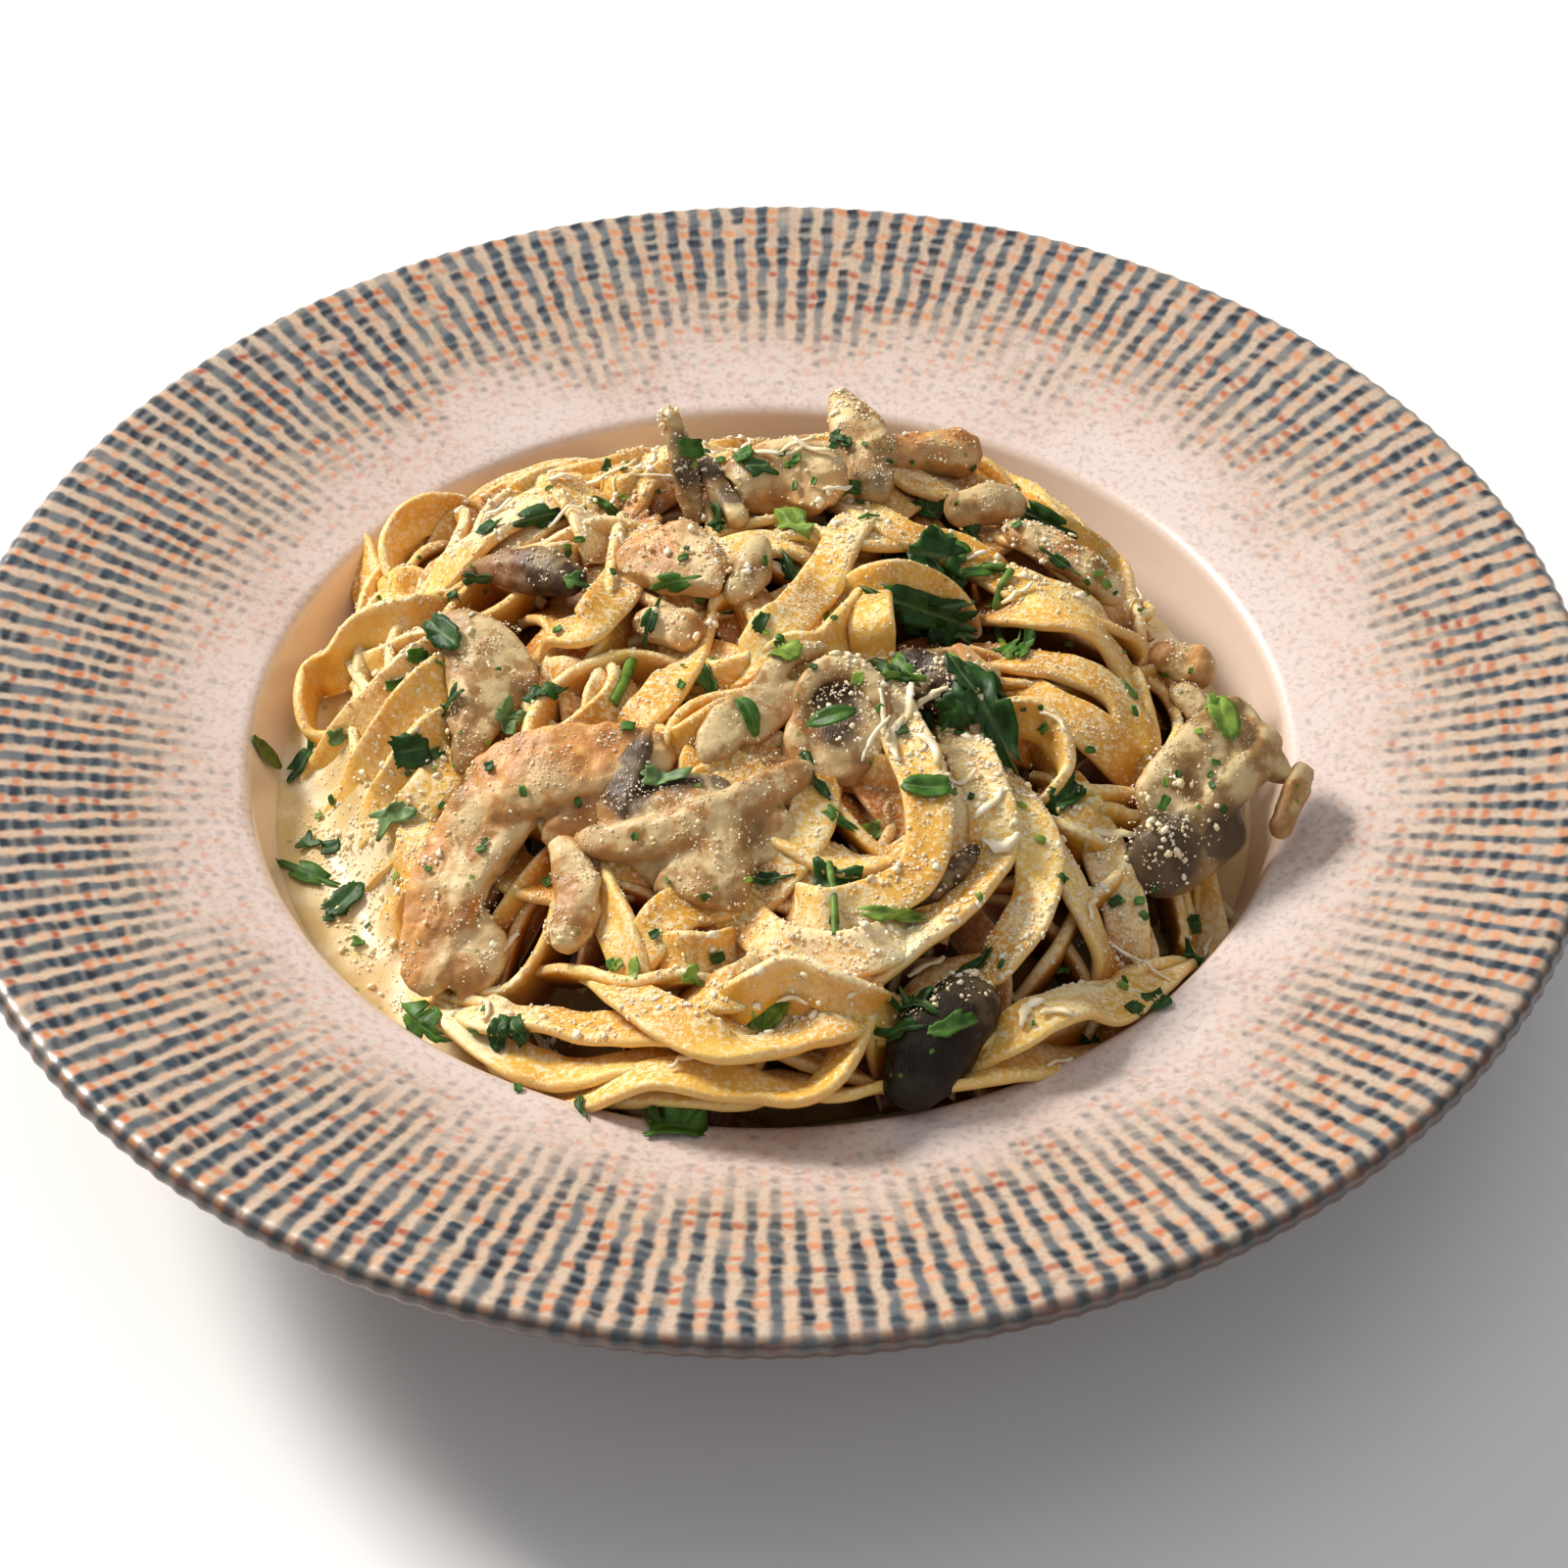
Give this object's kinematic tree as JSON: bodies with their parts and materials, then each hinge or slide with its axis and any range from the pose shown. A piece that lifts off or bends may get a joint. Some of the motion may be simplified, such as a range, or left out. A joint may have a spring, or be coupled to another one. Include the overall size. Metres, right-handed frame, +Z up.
{
  "type": "fettuccine alfredo",
  "caption": "Deep wide-rimmed stoneware plate holding a loose heap of fettuccine in cream sauce, topped with chicken and mushroom pieces and chopped parsley.",
  "frame": {"origin": "centre of the plate's foot, on the table", "axes": "+Z is up along the plate's turning axis; the eater sits at -Y, and the open pool of sauce is at -X"},
  "size_m": [0.27, 0.27, 0.0774],
  "materials": {
    "stoneware": "gloss",
    "egg_pasta": "satin",
    "cream_sauce": "satin",
    "chicken": "satin",
    "mushroom": "satin",
    "dark_mushroom": "satin",
    "parsley": "satin",
    "grated_cheese": "matte"
  },
  "bodies": {
    "root": {"chicken_back": "chicken", "chicken_back_left": "chicken", "chicken_back_right": "chicken", "chicken_crumb": "chicken", "chicken_large": "chicken", "chicken_nub": "chicken", "chicken_right": "chicken", "chicken_shaded": "chicken", "chicken_stub": "chicken", "chicken_tucked": "chicken", "fettuccine": "egg_pasta", "mushroom_arched": "mushroom", "mushroom_back": "mushroom", "mushroom_centre": "mushroom", "mushroom_curled": "dark_mushroom", "mushroom_dark": "dark_mushroom", "mushroom_forked": "mushroom", "mushroom_left": "dark_mushroom", "mushroom_pale": "mushroom", "mushroom_right": "mushroom", "mushroom_round": "mushroom", "mushroom_shaded": "dark_mushroom", "mushroom_tail": "mushroom", "mushroom_tip": "mushroom", "mushroom_trumpet": "mushroom", "mushroom_upright": "mushroom", "plate": "stoneware", "sauce": "cream_sauce"}
  },
  "joints": []
}
